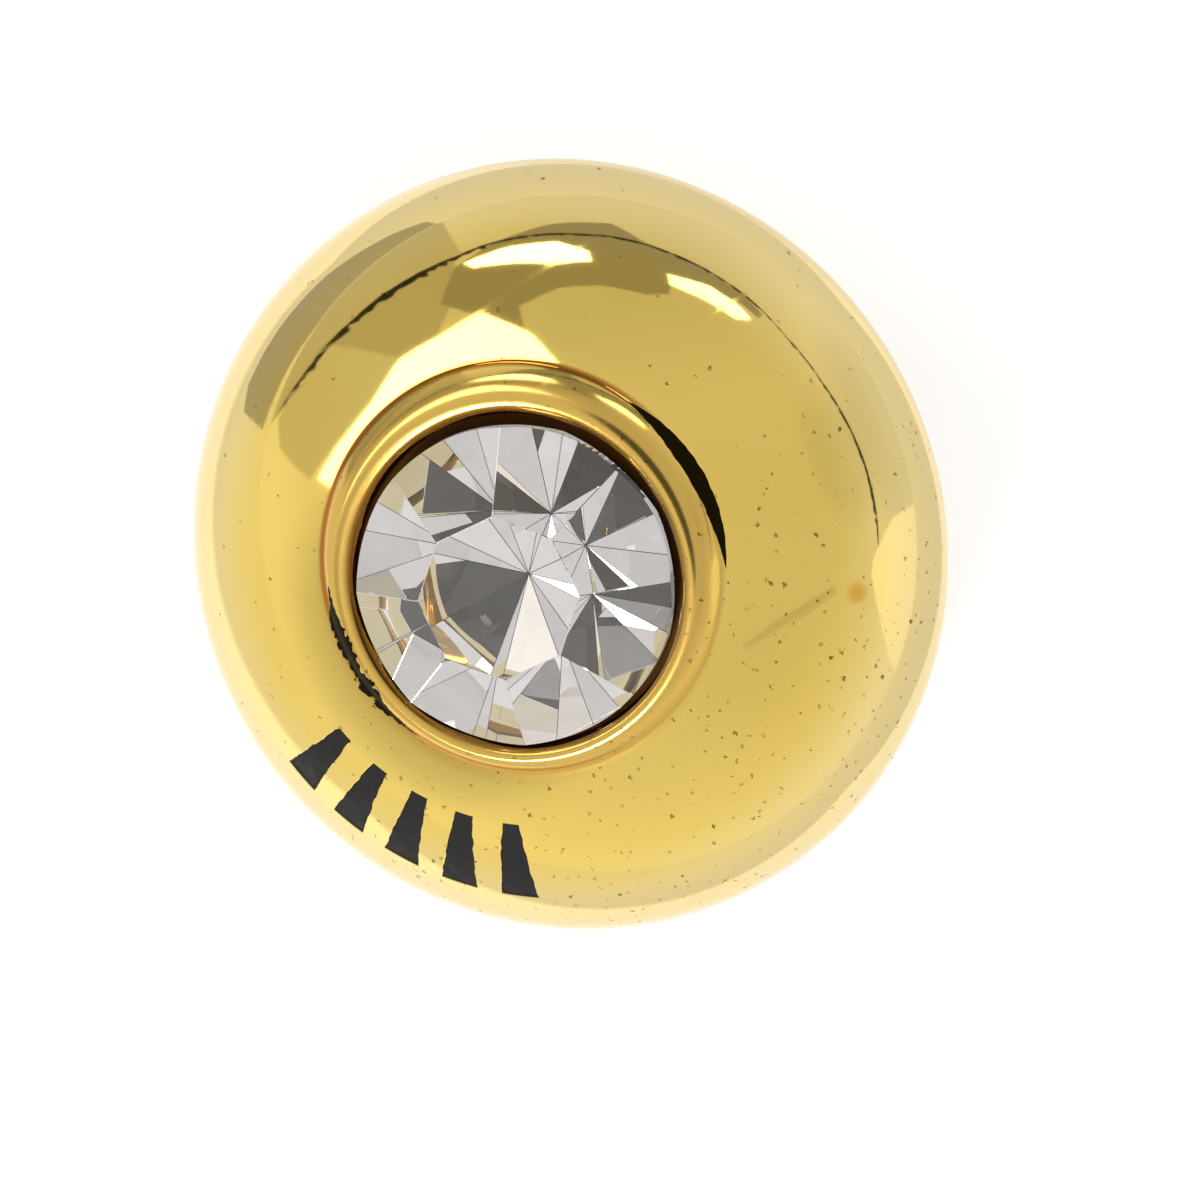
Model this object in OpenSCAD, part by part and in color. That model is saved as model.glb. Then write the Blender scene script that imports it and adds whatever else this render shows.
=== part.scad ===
// Clip-back button earring: a hollow domed casting with a collar round one large cut stone,
// enamelled rays let into its shoulder, and an ear clip on its back plate.
// It lies face up, resting on the back edge of its dome and on the barrel of its clip.

/* [Dome] */
// Outside diameter of the button
button_d = 24.2; // [22:0.1:28]
// Height of the dome above its widest line
dome_h = 6.5; // [5.8:0.1:7.5]
// Radius of the rounded shoulder
shoulder_r = 3.5; // [3:0.1:3.7]
// Radius that rounds the back edge
edge_r = 1.2; // [1:0.05:1.6]
// Thickness of the cast wall
wall = 1.2; // [1:0.05:1.5]

/* [Stone] */
// Diameter of the stone at its girdle
stone_d = 10; // [9:0.1:10.6]
// Diameter of the table, from corner to corner
table_d = 5.4; // [4.6:0.1:6]
// Slope of the main facets of the crown, in degrees
crown_angle = 33; // [28:1:38]
// Slope of the main facets of the back, in degrees
back_angle = 41; // [36:1:43]
// Height of the plain girdle band
girdle_h = 0.2; // [0.1:0.05:0.4]
// How much steeper the small facets at the girdle are, in degrees
girdle_facet_step = 8; // [4:1:12]

/* [Collar] */
// Radius of the rounded bead of the collar
bead_r = 0.75; // [0.6:0.05:0.9]
// How far the bead stands above the dome under it
collar_rise = 0.45; // [0.2:0.05:0.6]
// Radius of the hollow where the bead meets the dome
collar_fillet_r = 0.6; // [0.3:0.05:1]
// Width of the bead's inner half, from the stone's bore to its crest
bead_inner_w = 0.4; // [0.2:0.05:0.5]
// Height of the girdle above the crest of the bead
stone_proud = 0.1; // [0:0.05:0.3]
// Gap between the stone and its bore
stone_gap = 0.15; // [0.08:0.01:0.25]
// Wall of the cup behind the stone
cup_wall = 0.9; // [0.6:0.05:1.1]

/* [Enamelled rays] */
// Number of rays in the fan
ray_count = 5; // [3:2:7]
// Angle from one ray to the next, in degrees
ray_pitch = 11; // [10:0.5:14]
// Angle of the fan from the low side of the button, in degrees
fan_turn = 30; // [0:5:90]
// Distance from the foot of the collar to the inner end of a ray
ray_start = 1.25; // [0.8:0.05:1.35]
// Length of a ray, seen from the front
ray_l = 2.7; // [2:0.1:2.8]
// Width of a ray at its inner end
ray_inner_w = 0.6; // [0.4:0.05:0.8]
// Width of a ray at its outer end
ray_outer_w = 1.25; // [0.9:0.05:1.4]
// Depth of a ray's recess below the dome
ray_depth = 0.4; // [0.3:0.05:0.6]
// How far the enamel lies below the polished metal
enamel_sink = 0.05; // [0.02:0.01:0.1]

/* [Back plate and clip] */
// Thickness of the back plate
plate_t = 0.8; // [0.6:0.05:1]
// Depth of the plate's back face inside the edge
plate_recess = 0.2; // [0.1:0.05:0.4]
// Width of the flat land round the plate
rim_land = 0.4; // [0.3:0.05:0.6]
// Width of the ledge that the plate seats on
ledge_w = 0.4; // [0.3:0.05:0.6]
// Width of the bracket and of the neck of the clip
clip_w = 7; // [6:0.1:8]
// Thickness of the clip's metal
clip_t = 0.9; // [0.7:0.05:1.1]
// Radius of the clip's barrel
barrel_r = 1.2; // [1:0.05:1.4]
// Distance of the barrel from the button's axis
barrel_offset = 5; // [4:0.1:6]
// How far the barrel stands out past the bracket at each end
barrel_end = 0.3; // [0.1:0.05:0.5]
// Height of the barrel's axis behind the back edge
barrel_drop = 4.4; // [4:0.1:4.6]
// Length of the paddle from the barrel's axis to the centre of its round end
paddle_l = 10; // [9:0.1:11]
// Diameter of the paddle's round end
pad_d = 8.4; // [8:0.1:9.4]
// Gap for the ear lobe, at the centre of the pad
lobe_gap = 1; // [0.6:0.1:1.6]

/* [Hidden] */
// Gap between pieces that are pressed or poured together
fit_gap = 0.04;
// Film of glue under the stone
glue_gap = 0.06;
// How far the hollow at the collar's foot bites into bead and dome, which leaves a clean edge
fillet_bite = 0.005;
// Sides drawn on a full circle
round_sides = 96;
$fn = round_sides;
// Facets round the stone's table
cut_sides = 8;
// Reach of a cutting block beyond the part
reach = 40;

button_r = button_d / 2;
stone_r = stone_d / 2;

// The dome's section is two tangent arcs, written as [distance from the axis, height]
// above the back edge: a shoulder round shoulder_c, and a crown round crown_c.
shoulder_c = [button_r - shoulder_r, edge_r];
crown_r = (pow(shoulder_c.x, 2) + pow(dome_h, 2) - pow(shoulder_r, 2)) / (2 * (dome_h - shoulder_r));
crown_c = [0, edge_r + dome_h - crown_r];
edge_c = [button_r - edge_r, edge_r];

// Unit vector from one point to another
function towards(a, b) = (b - a) / norm(b - a);
// Height of the dome's crown at a distance from the axis
function crown_w(r) = crown_c.y + sqrt(pow(crown_r, 2) - pow(r, 2));

// The collar's bead and the centre of the fillet that touches both bead and crown
bore_r = stone_r + stone_gap;
bead_x = bore_r + bead_inner_w;
crest_w = crown_w(bead_x) + collar_rise;
bead_c = [bead_x, crest_w - bead_r];
bead_to_fillet = bead_r + collar_fillet_r;
crown_to_fillet = crown_r + collar_fillet_r;
crown_to_bead = norm(bead_c - crown_c);
up_to_bead = towards(crown_c, bead_c);
fillet_along = (pow(crown_to_bead, 2) + pow(crown_to_fillet, 2) - pow(bead_to_fillet, 2)) / (2 * crown_to_bead);
fillet_aside = sqrt(pow(crown_to_fillet, 2) - pow(fillet_along, 2));
fillet_c = crown_c + fillet_along * up_to_bead + fillet_aside * [up_to_bead.y, -up_to_bead.x];
collar_foot = (crown_c + crown_r * towards(crown_c, fillet_c)).x;

// The stone: heights are from the middle of its girdle
half_pitch = 180 / cut_sides;
table_side_r = table_d / 2 * cos(half_pitch);
crown_h = girdle_h / 2 + (stone_r - table_side_r) * tan(crown_angle);
back_h = girdle_h / 2 + stone_r * tan(back_angle);
girdle_w = crest_w + stone_proud;
// The edges between the back's facets slope less than the facets, and the cup follows the edges
cup_slope = atan(tan(back_angle) * cos(half_pitch));
cup_tip_w = girdle_w - back_h - glue_gap / cos(cup_slope);
cup_bottom_w = cup_tip_w - cup_wall;
cup_r = bore_r + cup_wall;

// The rays' ends are arcs round the button's axis
ray_inner_r = collar_foot + ray_start;
ray_outer_r = ray_inner_r + ray_l;
// Half the width of a ray at a distance from the axis
function ray_half_w(r) = (ray_inner_w + (ray_outer_w - ray_inner_w) * (r - ray_inner_r) / ray_l) / 2;

// The back plate's seat
plate_r = button_r - edge_r - rim_land - fit_gap;
plate_top_w = plate_recess + plate_t;
ledge_r = plate_r + fit_gap - ledge_w;

// The clip: heights are above the back edge, so the clip's are negative
barrel_c = [barrel_offset, -barrel_drop];
pad_w = plate_recess - lobe_gap - clip_t / 2;
paddle_slope = asin((pad_w + barrel_drop) / paddle_l);

// The button leans until the edge and the barrel lie on one level surface
rest_rise = edge_c.y - barrel_c.y;
rest_run = edge_c.x + barrel_c.x;
rest_lean = atan2(rest_rise, rest_run) - asin((edge_r - barrel_r) / norm([rest_run, rest_rise]));
low_y = -shoulder_c.x * cos(rest_lean) - shoulder_c.y * sin(rest_lean) - shoulder_r;
high_y = edge_c.x * cos(rest_lean) - edge_c.y * sin(rest_lean) + edge_r;
low_z = -edge_c.x * sin(rest_lean) + edge_c.y * cos(rest_lean) - edge_r;

gilt = "#d8ba5c";
crystal = "#d9dbe2";
black_enamel = "#14120f";
clip_gilt = "#c9a94e";

// Lays the upright button down on its edge and its clip
module at_rest() {
    translate([0, -(low_y + high_y) / 2, -low_z])
        rotate([rest_lean, 0, 0])
            children();
}

// Half section of the dome above its widest line, drawn smaller all round by inset
module dome_section(inset = 0) {
    ray = towards(crown_c, shoulder_c);
    intersection() {
        union() {
            translate(shoulder_c)
                circle(shoulder_r - inset);
            intersection() {
                translate(crown_c)
                    circle(crown_r - inset);
                polygon([crown_c, crown_c + reach * ray, [0, reach]]);
            }
        }
        translate([0, edge_r])
            square([reach, reach]);
    }
}

// Half section of the rounded back edge below the widest line
module edge_section() {
    square([edge_c.x, edge_c.y]);
    translate(edge_c)
        circle(edge_r);
}

// Half section of the collar's bead and the fillet at its foot
module collar_section() {
    root_r = crown_r - bead_r;
    translate(bead_c)
        circle(bead_r);
    difference() {
        polygon([
            bead_c,
            crown_c + root_r * up_to_bead,
            crown_c + root_r * towards(crown_c, fillet_c),
            fillet_c
        ]);
        translate(fillet_c)
            circle(collar_fillet_r + fillet_bite);
    }
}

// Half section of the cup that carries the stone from behind
module cup_section() {
    outer_tip_w = cup_tip_w - cup_wall / cos(cup_slope);
    intersection() {
        polygon([
            [0, outer_tip_w],
            [reach, outer_tip_w + reach * tan(cup_slope)],
            [0, reach * tan(cup_slope)]
        ]);
        translate([0, cup_bottom_w])
            square([cup_r, reach]);
    }
}

// Half section of the bore and the conical seat that the stone drops into
module stone_pocket_section() {
    polygon([
        [0, cup_tip_w],
        [bore_r, cup_tip_w + bore_r * tan(cup_slope)],
        [bore_r, reach],
        [0, reach]
    ]);
}

// Half section of the hollow behind the dome
module hollow_section() {
    difference() {
        intersection() {
            union() {
                dome_section(wall);
                square([reach, edge_r]);
            }
            square([ledge_r, reach]);
        }
        cup_section();
    }
}

// Half section of the whole casting
module shell_section() {
    difference() {
        union() {
            dome_section();
            edge_section();
            collar_section();
        }
        hollow_section();
        square([plate_r + fit_gap, plate_top_w + fit_gap]);
        stone_pocket_section();
    }
}

// Outline of one tapered ray, grown all round by grow
module ray_outline(grow = 0) {
    near_r = ray_inner_r - ray_inner_w / 2;
    far_r = ray_outer_r + ray_outer_w / 2;
    difference() {
        intersection() {
            polygon([
                [near_r, -ray_half_w(near_r) - grow],
                [far_r, -ray_half_w(far_r) - grow],
                [far_r, ray_half_w(far_r) + grow],
                [near_r, ray_half_w(near_r) + grow]
            ]);
            circle(ray_outer_r + grow);
        }
        circle(ray_inner_r - grow);
    }
}

// Turns a ray to its place in the fan
module in_fan(i) {
    turn = fan_turn - 90 + (i - (ray_count + 1) / 2) * ray_pitch;
    rotate([0, 0, turn])
        children();
}

// A ray's outline as an upright block, wholly above the dome's widest line
module ray_block(i, grow = 0) {
    in_fan(i)
        translate([0, 0, edge_r + ray_depth])
            linear_extrude(dome_h + collar_rise)
                ray_outline(grow);
}

// The gilt casting
module button_shell() {
    color(gilt)
        at_rest()
            difference() {
                rotate_extrude()
                    shell_section();
                difference() {
                    for (i = [1:ray_count])
                        ray_block(i, fit_gap);
                    rotate_extrude()
                        dome_section(ray_depth + fit_gap);
                }
            }
}

// The black enamel in one ray, a little below the polished metal
module enamel_ray(i) {
    color(black_enamel)
        at_rest()
            difference() {
                intersection() {
                    ray_block(i);
                    rotate_extrude()
                        dome_section(enamel_sink);
                }
                rotate_extrude()
                    dome_section(ray_depth);
            }
}

// All that lies under one facet: a plane through a point at radius r and height h
module under_facet(turn, slope, r, h) {
    rotate([0, 0, turn])
        translate([r, 0, h])
            rotate([0, slope, 0])
                translate([-reach, -reach, -reach])
                    cube([2 * reach, 2 * reach, reach]);
}

// What a ring of equal facets leaves, with the first one turned by start
module under_ring(start, slope, r, h) {
    intersection_for (i = [0:cut_sides - 1])
        under_facet(start + i * 360 / cut_sides, slope, r, h);
}

// The cut stone: a round blank with a table, and facets on the crown and on the back
module stone() {
    color(crystal)
        at_rest()
            translate([0, 0, girdle_w])
                intersection() {
                    translate([0, 0, -back_h])
                        cylinder(r = stone_r, h = back_h + crown_h);
                    under_ring(half_pitch, crown_angle, stone_r, girdle_h / 2);
                    under_ring(0, crown_angle + girdle_facet_step, stone_r, girdle_h / 2);
                    mirror([0, 0, 1])
                        under_ring(half_pitch, back_angle, stone_r, girdle_h / 2);
                    mirror([0, 0, 1])
                        under_ring(0, back_angle + girdle_facet_step, stone_r, girdle_h / 2);
                }
}

// The clip's round-ended paddle, lying along its own length from the barrel
module paddle() {
    translate([0, 0, -clip_t / 2])
        linear_extrude(clip_t) {
            translate([-clip_w / 2, -paddle_l])
                square([clip_w, paddle_l]);
            translate([0, -paddle_l])
                circle(d = pad_d);
        }
}

// Back plate and ear clip, soldered into one piece
module clip_back() {
    color(clip_gilt)
        at_rest() {
            translate([0, 0, plate_recess])
                cylinder(r = plate_r, h = plate_t);
            translate([-clip_w / 2, barrel_c.x - clip_t / 2, barrel_c.y])
                cube([clip_w, clip_t, barrel_drop + plate_recess + plate_t / 2]);
            translate([-clip_w / 2 - barrel_end, barrel_c.x, barrel_c.y])
                rotate([0, 90, 0])
                    cylinder(r = barrel_r, h = clip_w + 2 * barrel_end);
            translate([0, barrel_c.x, barrel_c.y])
                rotate([-paddle_slope, 0, 0])
                    paddle();
        }
}

button_shell();
stone();
clip_back();
for (i = [1:ray_count])
    enamel_ray(i);
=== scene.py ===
# Clip-back button earring: gilt domed casting, one foil-backed stone, a fan of black enamel rays.
# Sizes are in millimetres and angles in degrees, in the button's own upright frame until a piece is laid
# down at rest. The studio is in the resting frame.
import math
from collections import namedtuple

import bmesh
import bpy
from mathutils import Matrix, Vector, noise

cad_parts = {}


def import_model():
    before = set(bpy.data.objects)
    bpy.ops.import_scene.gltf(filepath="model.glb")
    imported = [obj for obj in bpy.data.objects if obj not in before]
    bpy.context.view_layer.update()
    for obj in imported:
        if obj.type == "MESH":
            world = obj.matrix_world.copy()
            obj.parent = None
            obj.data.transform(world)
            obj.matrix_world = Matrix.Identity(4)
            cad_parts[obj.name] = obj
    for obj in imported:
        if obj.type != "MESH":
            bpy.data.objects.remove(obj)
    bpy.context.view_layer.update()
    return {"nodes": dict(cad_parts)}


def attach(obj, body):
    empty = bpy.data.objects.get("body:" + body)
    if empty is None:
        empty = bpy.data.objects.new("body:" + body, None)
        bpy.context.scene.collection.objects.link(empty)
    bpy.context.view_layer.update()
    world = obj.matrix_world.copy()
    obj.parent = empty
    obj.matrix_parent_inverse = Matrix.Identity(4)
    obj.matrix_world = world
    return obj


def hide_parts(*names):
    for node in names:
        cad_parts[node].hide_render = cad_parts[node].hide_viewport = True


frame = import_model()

MM = 0.001

# Sizes repeated from the part's source
BUTTON_R = 12.1
EDGE_R = 1.2
WALL = 1.2
GIRDLE_H = 0.2
BORE_R = 5.15
RAY_COUNT = 5
RAY_PITCH = 11
RAY_MIDDLE = -60
RAY_INNER_R = 7.84
RAY_OUTER_R = 10.54
RAY_INNER_W = 0.6
RAY_OUTER_W = 1.25
RAY_DEPTH = 0.4
PLATE_SEAT_R = 10.5
PLATE_SEAT_W = 1.04
LEDGE_R = 10.1
LEAN = 19.402
STANDS_AT = (0, 0.464, 3.689)

# Forms of the visible casting, inside the source's dome
DOME_RISE = 6.25
CREST_R = 5.5
CREST_W = 7.05
LIP_DROP = 0.3
COLLAR_FOOT_R = 6.65
COLLAR_END_R = 7.0
CREASE_SOFT = 0.06
SEAT_TIP_W = 2.1
SEAT_SLOPE = 39.2
CUP_R = 5.01
CUP_TIP_R = 0.32
CUP_BOTTOM_W = 1.7

# Steps of the spun skin, one to a degree, and how far under the dome a point still counts as its outer skin
SPIN_STEPS = 360
SKIN_DEPTH = 0.2

# Uneven handwork: the collar's foot is drawn in, least at one azimuth and not at all from COLLAR_CALM_R on,
# and the bore's lip is pushed aside, down to LIP_REACH below the dome
COLLAR_WIDE_AT = 135
FOOT_DRAWN_IN = 0.35
FOOT_UNEVEN = 0.3
COLLAR_CALM_R = 7.7
BORE_SHIFT = (0.107, 0.037)
LIP_REACH = 0.8

# Half of a ray's width on the spun skin's grid, in degrees, and the rim, chamfer and draft of its recess
RAY_GRID = 3
RAY_RIM = 0.015
RAY_CHAMFER = 0.02
RAY_DRAFT = 0.01

# The enamel in a ray: its gap to the recess, how far it lies sunken, how uneven it is, and its thickness
ENAMEL_GAP = 0.035
ENAMEL_SUNK = 0.045
ENAMEL_UNEVEN = 0.02
ENAMEL_THICK = 0.3

# The stone, measured from the way its facets break up the picture: it sits a little askew in its seat
STONE_R = 4.9
STONE_SIDES = 8
TABLE_R = 2.51
CROWN_ANGLE = 40.0
BACK_ANGLE = 42.1
STONE_TURN = 14.74
BACK_TURN = 1.63
STONE_SKEW = (-2.63, 2.36)
STONE_AT = (0.15, -0.055, 6.95)
CROWN_WEAR = 0.014
FOIL_CRACK = 0.012

# Faces that meet at more than this angle form an edge of the stone, and those whose normal rises or falls by
# more than this share belong to its crown or its back
FACET_EDGE = 6
FACET_RISE = 0.3

# The renderer follows this many reflections; past them the stone gives the tent's mean light
REFLECTIONS = 4
DEEP_LIGHT = 0.38
DEEP_TINT = "#f8efc0"

# Takes the upright button to where it rests, in metres
at_rest = (
    Matrix.Translation(Vector(STANDS_AT) * MM)
    @ Matrix.Rotation(math.radians(LEAN), 4, "X")
    @ Matrix.Scale(MM, 4)
)

# The foot and the axis of the resting button, and how its directions are turned
FOOT = Vector(STANDS_AT) * MM
LEANED = at_rest.to_3x3().normalized()
AXIS = LEANED @ Vector((0, 0, 1))

# Marks on the gold: the off-centre middle of the painted paling at the edge, the tarnished spot, and the
# crease's nearest and farthest distance from the axis, with the azimuth where its painted orange reflection
# is strongest
PALING_SHIFT = at_rest.to_3x3() @ Vector((0.0, 0.6, 0.0))
TARNISH_AT = Vector((6.02, 6.63, 10.75)) * MM
CREASE_R = (6.01, 6.61)
PAINTED_CREASE_AT = 195

# Painted dark reflections in the crease: azimuth, half its spread round the axis, distance from it, half
# width, ragged share
PAINTED_DARK_CRESCENTS = ((87, 27, 6.54, 0.21, 0.08), (-93, 27, 6.0, 0.26, 0.6))

# Painted light by distance: a paler, greyer edge for its reflections, round its own centre, and painted shade
# on the collar and into the bore, round the axis: where it starts and ends, its greatest share, and its
# colour
EDGE_PAINTED_PALING = ((9.0, 11.9, 0.85, "#efdca0"), (10.4, 11.9, 0.95, "#dec88c"))
COLLAR_PAINTED_SHADE = ((6.6, 6.0, 0.9, "#dcb45a"), (5.55, 5.2, 0.85, "#80501c"))

# The camera's turn, its place in metres and its lens, and the picture's right, up and middle on the floor
CAMERA_TURN = 56.9
CAMERA_AT = (0.001943, -0.000014, 0.2529)
LENS = 240
SENSOR = 36
IMAGE_RIGHT = Vector((math.cos(math.radians(CAMERA_TURN)), math.sin(math.radians(CAMERA_TURN)), 0))
IMAGE_UP = Vector((-IMAGE_RIGHT.y, IMAGE_RIGHT.x, 0))
IMAGE_CENTRE = Vector((CAMERA_AT[0], CAMERA_AT[1], 0.0004))

# The floor's half side, and the point that directions in the studio are seen from, in metres
FLOOR_HALF = 0.6
SEEN_FROM = Vector((0, 0, 0.006))

# The tent's black piping, as (azimuth, elevation, thickness) seen from the button, its distance in metres,
# and the steps between two of its points
PIPING = (
    (226.2, 1, 0.5), (217.5, 6.3, 2.2), (207.5, 11.6, 2.6), (197.5, 15.8, 2.3), (187.5, 19.8, 1.8),
    (176, 22.4, 1.1), (165, 25, 1.0), (150, 27.8, 1.2), (135, 31, 1.1), (120, 33.6, 0.9), (105, 36.8, 0.5),
    (90, 37, 0.9), (80, 35.2, 1.4), (67.5, 33.2, 1.5), (55, 31.4, 1.6), (45.5, 30.4, 0.5),
)
PIPING_FAR = 0.50
FRAY_STEPS = 10

# Hanging sheets: name, cloth, glow, distance in metres, lower edge, upper edge, both as (azimuth, elevation)
SHEETS = (
    (
        "tent_wall", "tent_cloth_shaded", 0.34, 0.56,
        (
            (200, 31), (190, 24), (176, 22), (165, 19.5), (152, 19.5),
            (146, 28), (135, 31.5), (120, 34.5), (113, 37),
        ),
        (
            (196, 51), (190, 45), (177, 45.5), (165, 47.5), (152, 50.5),
            (144, 48.8), (141, 40.5), (120, 39.3), (114, 40),
        ),
    ),
    (
        "tent_corner", "tent_cloth_folded", 0.5, 0.57,
        ((188, 20), (197, 16), (207, 12), (214, 9)),
        ((193, 30), (201, 34), (208, 36), (215, 32)),
    ),
    (
        "tent_corner_far", "tent_cloth_unfolded", 0.66, 0.57,
        ((214, 9), (221, 5), (227, 2), (232, 6)),
        ((215, 32), (221, 30), (229, 26), (238, 17)),
    ),
    (
        "tent_flap", "tent_cloth_doubled", 0.58, 0.56,
        ((181, -1), (190, -1), (203, -1), (215, -1), (228, -1)),
        ((186, 20), (194, 18), (206, 12.5), (217, 6.5), (226, 1.5)),
    ),
    (
        "strip_lamp_1", "strip_lamp_cloth", 6.0, 0.52,
        ((188, 24.5), (177.5, 26.2), (167.5, 28.8), (161.8, 34.5)),
        ((187.8, 28.2), (180, 33), (172.5, 37.5), (163, 38.8)),
    ),
    (
        "strip_lamp_2", "strip_lamp_cloth_2", 4.0, 0.52,
        ((142.5, 40.8), (130, 39.3), (120, 41), (116, 42.5)),
        ((143, 45), (132.5, 46.2), (121, 47), (117, 44.3)),
    ),
    (
        "window", "window_cloth", 4.6, 0.53,
        ((195, 52), (197, 40), (207, 36.5), (215, 31.5), (225, 29), (232, 24), (238, 19)),
        ((199, 60), (207, 57), (214, 50), (219, 43), (225, 37), (232, 31), (240, 22)),
    ),
    (
        "low_lamp", "low_lamp_cloth", 28.0, 0.33,
        ((284, 34), (298, 36.5), (310, 41.5)),
        ((282, 46), (294, 49), (307, 51)),
    ),
    ("top_lamp", "top_lamp_cloth", 1.15, 0.32, ((258, 69), (266, 68.5)), ((256, 73), (270, 72.5))),
    (
        "side_panel", "side_panel_cloth", 1.12, 0.54,
        ((60, -1), (58, 10), (55, 20), (50, 27), (43, 33)),
        ((27, -1), (28, 10), (30, 20), (33, 27), (38, 33)),
    ),
    (
        "tent_crease", "tent_cloth_creased", 0.6, 0.54,
        ((-15, 55.5), (0, 55), (14, 51), (26, 46)),
        ((-15, 56.2), (0, 56.8), (13, 54), (27, 48)),
    ),
)

# Lamps that aren't white, by their cloth
WARM_CLOTHS = {"top_lamp_cloth": (1.0, 0.97, 0.9, 1.0)}

# The lens hood over the stone: its middle, and half its size along X and Y
HOOD_AT = (0.15, -1.95, 35.4)
HOOD_HALF = (10.0, 6.0)

# Outside the picture, from SHADE_NEAR to SHADE_FAR off its middle, the floor is a little dimmer: name, cloth,
# glow, and the inner and outer edge as shares of these distances to the picture's right and up
SHADE_NEAR = 19.6
SHADE_FAR = 590.0
SHADES = (
    (
        "floor_shade", "floor_cloth_shaded", 0.92,
        ((1, 0.05), (1, 1), (-1, 1), (-1, 0.45)),
        ((1, 0.05), (1, 1), (-1, 1), (-1, -0.05)),
    ),
    (
        "floor_shade_low", "floor_cloth_lower", 0.93,
        ((-1, 0.45), (-1, -1), (1, -1), (1, 0.05)),
        ((-1, -0.05), (-1, -1), (1, -1), (1, 0.05)),
    ),
)

# The dark floor under the tent's flap: its glow, its height, and its edges as (azimuth, millimetres)
FLAP_GLOW = 0.45
FLAP_H = 0.6
FLAP_NEAR = ((181, 80), (185, 47), (195, 29), (207, 24.5), (215, 23))
FLAP_FAR = ((182, 400), (195, 400), (210, 400), (227, 100), (220, 26))

# Softly darker and lighter areas of the tent: azimuth, elevation, half width, and change of level
LOBES = (
    (165, 5, 75, -0.15), (75, 10, 32, -0.16), (68, 45, 18, -0.08), (-90, 55, 40, 0.13), (-88, 27, 32, -0.3),
)

# Settings that several nodes share
SMOOTH = {"interpolation_type": "SMOOTHSTEP"}
COLOURS = {"data_type": "RGBA"}
PLUS = {"operation": "ADD"}
MINUS = {"operation": "SUBTRACT"}
TIMES = {"operation": "MULTIPLY"}
TIMES_PLUS = {"operation": "MULTIPLY_ADD"}
BELOW = {"operation": "LESS_THAN"}
UNSIGNED = {"operation": "ABSOLUTE"}
DOT = {"operation": "DOT_PRODUCT"}
CROSS = {"operation": "CROSS_PRODUCT"}
LENGTH = {"operation": "LENGTH"}

# Sockets of a Mix node for colours, whose names it uses more than once
SHARE, UNDER, OVER, MIXED = 0, 6, 7, 2

# What the gold's layers measure: a point's place, its way from the foot and off the axis, and how far off
Measured = namedtuple("Measured", "place from_foot across from_axis")


def linear(hex_colour):
    """An sRGB hex colour as linear RGBA."""
    parts = [int(hex_colour[i : i + 2], 16) / 255 for i in (1, 3, 5)]
    return tuple(c / 12.92 if c <= 0.04045 else ((c + 0.055) / 1.055) ** 2.4 for c in parts) + (1.0,)


# Materials


def material(name):
    """A new empty node material and its node tree."""
    made = bpy.data.materials.new(name)
    made.use_nodes = True
    made.node_tree.nodes.clear()
    return made, made.node_tree


def add(tree, kind, settings=None, numbered=None, **named):
    """Adds one shader node. An input, by number or by name, takes a value or the output it is wired to."""
    node = tree.nodes.new("ShaderNode" + kind)
    for key, value in (settings or {}).items():
        setattr(node, key, value)
    inputs = {key.replace("_", " "): value for key, value in named.items()}
    for key, value in {**(numbered or {}), **inputs}.items():
        if isinstance(value, bpy.types.NodeSocket):
            tree.links.new(value, node.inputs[key])
        else:
            node.inputs[key].default_value = value
    return node


def ramp(node, low, high):
    """Sets a colour ramp's two stops from (place, hex colour) pairs."""
    for element, (place, colour) in zip(node.color_ramp.elements, (low, high)):
        element.position, element.color = place, linear(colour)


def measure(tree):
    """Where a point of the gold lies, from the button's foot and from its axis."""
    place = add(tree, "TexCoord").outputs["Object"]
    from_foot = add(tree, "VectorMath", MINUS, {0: place, 1: FOOT}).outputs["Vector"]
    across = add(tree, "VectorMath", CROSS, {0: from_foot, 1: AXIS}).outputs["Vector"]
    from_axis = add(tree, "VectorMath", LENGTH, {0: across}).outputs["Value"]
    return Measured(place, from_foot, across, from_axis)


def cosine_to(tree, at, azimuth):
    """The cosine of the angle round the axis between a point and an azimuth."""
    turn = math.radians(azimuth)
    toward = LEANED @ Vector((math.cos(turn), math.sin(turn), 0.0))
    along = add(tree, "VectorMath", DOT, {0: at.from_foot, 1: toward}).outputs["Value"]
    return add(tree, "Math", {"operation": "DIVIDE"}, {0: along, 1: at.from_axis}).outputs[0]


def plate_tint_and_painted_light(tree, at):
    """Yellow plate with a random tint, painted paler and greyer towards the edge for its reflections, with
    painted shade on the collar and a brown painted shade into the bore.
    """
    cloud = add(tree, "TexNoise", Vector=at.place, Scale=130.0, Detail=2.0)
    tint = add(tree, "ValToRGB", Fac=cloud.outputs["Fac"])
    ramp(tint, (0.35, "#f3d06a"), (0.7, "#f6d672"))
    colour = tint.outputs["Color"]
    from_paling_centre = add(tree, "VectorMath", MINUS, {0: at.across, 1: PALING_SHIFT.cross(AXIS)}).outputs["Vector"]
    paling_r = add(tree, "VectorMath", LENGTH, {0: from_paling_centre}).outputs["Value"]
    # Painted paling of the edge's reflections, then painted shade on the collar and into the bore
    for distance, stages in ((paling_r, EDGE_PAINTED_PALING), (at.from_axis, COLLAR_PAINTED_SHADE)):
        for start, end, most, painted_to in stages:
            share = add(
                tree, "MapRange", SMOOTH, Value=distance,
                From_Min=start * MM, From_Max=end * MM, To_Min=0.0, To_Max=most,
            ).outputs["Result"]
            colour = add(
                tree, "Mix", COLOURS, {SHARE: share, UNDER: colour, OVER: linear(painted_to)}
            ).outputs[MIXED]
    return colour


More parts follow.
